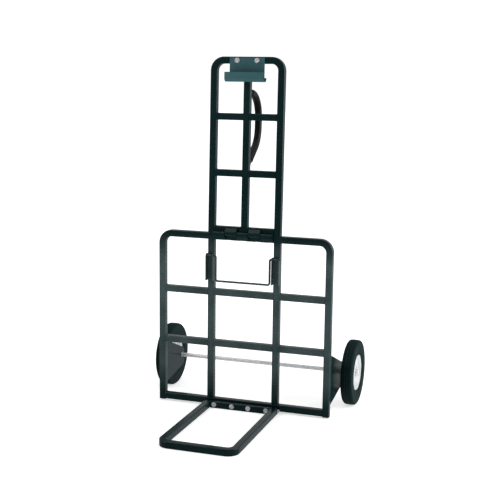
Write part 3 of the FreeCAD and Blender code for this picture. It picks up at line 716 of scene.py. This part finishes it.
def make_tyre(side):
    """Ribbed tyre with notches along its shoulders, and a groove and a raised ring on each side wall."""
    node = f"tyre_{side}"
    low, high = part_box(node)
    centre, half, crown = (low + high) / 2, (high.x - low.x) / 2, (high.z - low.z) / 2
    disc_low, disc_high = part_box(f"wheel_disc_outer_{side}")
    seat = (disc_high.z - disc_low.z) / 2 - RIM_LIP
    profile = tyre_profile(half, seat, crown)
    loop = [(-x, r) for x, r in reversed(profile[1:])] + profile
    rings = []
    for i, angle in enumerate(circle_angles(STEPS_AROUND)):
        in_notch = i % (STEPS_AROUND // NOTCHES) < NOTCH_STEPS
        ring = []
        for x, radius in loop:
            at_shoulder = NOTCHES_BEYOND < abs(x) and radius > crown - NOTCHES_BELOW_CROWN
            reach = radius - NOTCH_DEPTH if in_notch and at_shoulder else radius
            ring.append(centre + Vector((x, reach * math.cos(angle), reach * math.sin(angle))))
        rings.append(ring)
    mesh = Mesh()
    mesh.skin(rings, closed=True)
    tyre = mesh.add_to(f"{node}_ribbed", f"wheel_{side}", "tyre", sharp=32)
    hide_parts(node)


# ---- grip --------------------------------------------------------------------------------------------


LIP_SUNK = 1.1 * MM
LIP_ACROSS = 1.7 * MM
LIP_ALONG = 1.6 * MM


def make_grip_ends():
    """Rolled lips at the two ends of the grip."""
    points = local_points("handle_grip", LEANING)
    low, high = box_of(points)
    radius = (high.x - low.x) / 2
    top_end = [p for p in points if p.z > high.z - 2 * radius - MM]
    upper = Vector((0, min(p.y for p in top_end), high.z - radius))
    mesh = Mesh()
    add_lip(mesh, upper, Vector((0, 1, 0)), radius)
    add_lip(mesh, *lower_end_of_grip(points, radius), radius)
    mesh.add_to("grip_lips", "upper_frame", "grip_rubber", LEANING, sharp=60)


def lower_end_of_grip(points, radius):
    """The centre and direction of the grip's lower end, from the flat ring of points that closes it."""
    front = min(points, key=lambda p: p.y)
    in_middle = 0.2 * MM
    outer = [p for p in points if (p - front).length < 2.6 * radius and abs(p.x) < in_middle]
    top = max(outer, key=lambda p: p.z - p.y * 0.75)
    candidates = [p for p in outer if (p - top).length > 0.5 * radius]
    bottom = min(candidates, key=lambda p: abs((p - top).length - 2 * radius))
    across = (top - bottom).normalized()
    return (top + bottom) / 2, Vector((0, across.z, -across.y))


def add_lip(mesh, centre, along, radius):
    """A ring of oval section round a centre, square to the direction along."""
    side = Vector((1, 0, 0))
    up = along.cross(side).normalized()
    rings = []
    for angle in circle_angles(64):
        out = side * math.cos(angle) + up * math.sin(angle)
        ring = []
        for turn in circle_angles(12):
            reach = radius - LIP_SUNK + LIP_ACROSS * math.cos(turn)
            ring.append(centre + out * reach + along * (LIP_ALONG * math.sin(turn)))
        rings.append(ring)
    mesh.skin(rings, closed=True)


# ---- studio ------------------------------------------------------------------------------------------


FLOOR_SIZE = 60

# How much the floor shines by itself, near the cart and far from it, and the distances between.
FLOOR_GLOW = (0.58, 1.0)
FLOOR_FADE = (0.5, 2.2)

# The surroundings' strength as the camera sees them, then as light from in front and from behind.
BACKGROUND_SEEN = 1.05
LIGHT_IN_FRONT = 0.08
LIGHT_BEHIND = 0.40

# Place, target, size in metres, and watts.
LIGHTS = {
    "overhead": ((0.0, 0.2, 4.2), (0, 0, 0), 4.5, 40),
    "key": ((-2.6, -2.4, 3.2), (0, 0, 0.7), 1.6, 52),
    "right_fill": ((3.4, 0.6, 1.8), (0, 0, 0.7), 2.2, 80),
}


def make_floor():
    """Plain pale floor, uneven in tone near the cart and fading to plain white far from it."""
    bpy.ops.mesh.primitive_plane_add(size=FLOOR_SIZE, location=(0, 0, 0))
    floor = bpy.context.object
    floor.name = "floor"
    floor.visible_glossy = False
    shader = Shader("floor", Specular_IOR_Level=0.05, Roughness=0.95)
    shader.set("Base Color", shader.blend(shader.noise(0.8), (0.93, 0.93, 0.93), (0.96, 0.96, 0.96)))
    away = shader.add("ShaderNodeVectorMath", {0: shader.place}, operation="LENGTH").outputs["Value"]
    shader.bsdf.inputs["Emission Color"].default_value = (1, 1, 1, 1)
    shader.set("Emission Strength", shader.span(away, *FLOOR_FADE, *FLOOR_GLOW))
    floor.data.materials.append(shader.material)


def make_world():
    """White surroundings to the eye; their light is stronger from behind the cart than from in front."""
    world = bpy.data.worlds.new("studio")
    bpy.context.scene.world = world
    world.use_nodes = True
    tree = world.node_tree
    seen = tree.nodes["Background"]
    seen.inputs["Color"].default_value = (1, 1, 1, 1)
    seen.inputs["Strength"].default_value = BACKGROUND_SEEN
    way = tree.nodes.new("ShaderNodeSeparateXYZ")
    tree.links.new(tree.nodes.new("ShaderNodeTexCoord").outputs["Generated"], way.inputs[0])
    share = tree.nodes.new("ShaderNodeMapRange")
    spans = {"From Min": -0.9, "From Max": 0.9, "To Min": LIGHT_IN_FRONT, "To Max": LIGHT_BEHIND}
    for socket, value in spans.items():
        share.inputs[socket].default_value = value
    tree.links.new(way.outputs["Y"], share.inputs["Value"])
    lit = tree.nodes.new("ShaderNodeBackground")
    lit.inputs["Color"].default_value = (0.96, 0.98, 1.0, 1)
    tree.links.new(share.outputs[0], lit.inputs["Strength"])
    mixed = tree.nodes.new("ShaderNodeMixShader")
    tree.links.new(tree.nodes.new("ShaderNodeLightPath").outputs["Is Camera Ray"], mixed.inputs[0])
    tree.links.new(lit.outputs[0], mixed.inputs[1])
    tree.links.new(seen.outputs[0], mixed.inputs[2])
    tree.links.new(mixed.outputs[0], tree.nodes["World Output"].inputs["Surface"])


def add_light(name, place, target, size, power):
    light = bpy.data.lights.new(name, "AREA")
    light.size = size
    light.energy = power
    lamp = bpy.data.objects.new(name, light)
    bpy.context.scene.collection.objects.link(lamp)
    lamp.location = place
    lamp.rotation_euler = (Vector(target) - Vector(place)).to_track_quat("-Z", "Y").to_euler()


def make_lights():
    for name, settings in LIGHTS.items():
        add_light(name, *settings)


def make_camera():
    camera = bpy.data.objects.new("camera", bpy.data.cameras.new("camera"))
    bpy.context.scene.collection.objects.link(camera)
    camera.data.lens = CAMERA_LENS
    ahead = Vector((
        -math.sin(CAMERA_YAW) * math.cos(CAMERA_PITCH),
        math.cos(CAMERA_YAW) * math.cos(CAMERA_PITCH),
        math.sin(CAMERA_PITCH),
    ))
    level = Vector((math.cos(CAMERA_YAW), math.sin(CAMERA_YAW), 0))
    right = Quaternion(ahead, -CAMERA_ROLL) @ level
    up = right.cross(ahead)
    turn = Matrix((right, up, -ahead)).transposed().to_4x4()
    camera.matrix_world = Matrix.Translation(CAMERA_PLACE) @ turn
    bpy.context.scene.camera = camera


paint_nodes()
weld_frames()
weld_gussets()
weld_hinge()
weld_bail_brackets()
weld_handle()
make_fasteners()
make_tyre("left")
make_tyre("right")
make_grip_ends()
make_floor()
make_world()
make_lights()
make_camera()
bpy.context.scene.view_settings.view_transform = "Standard"
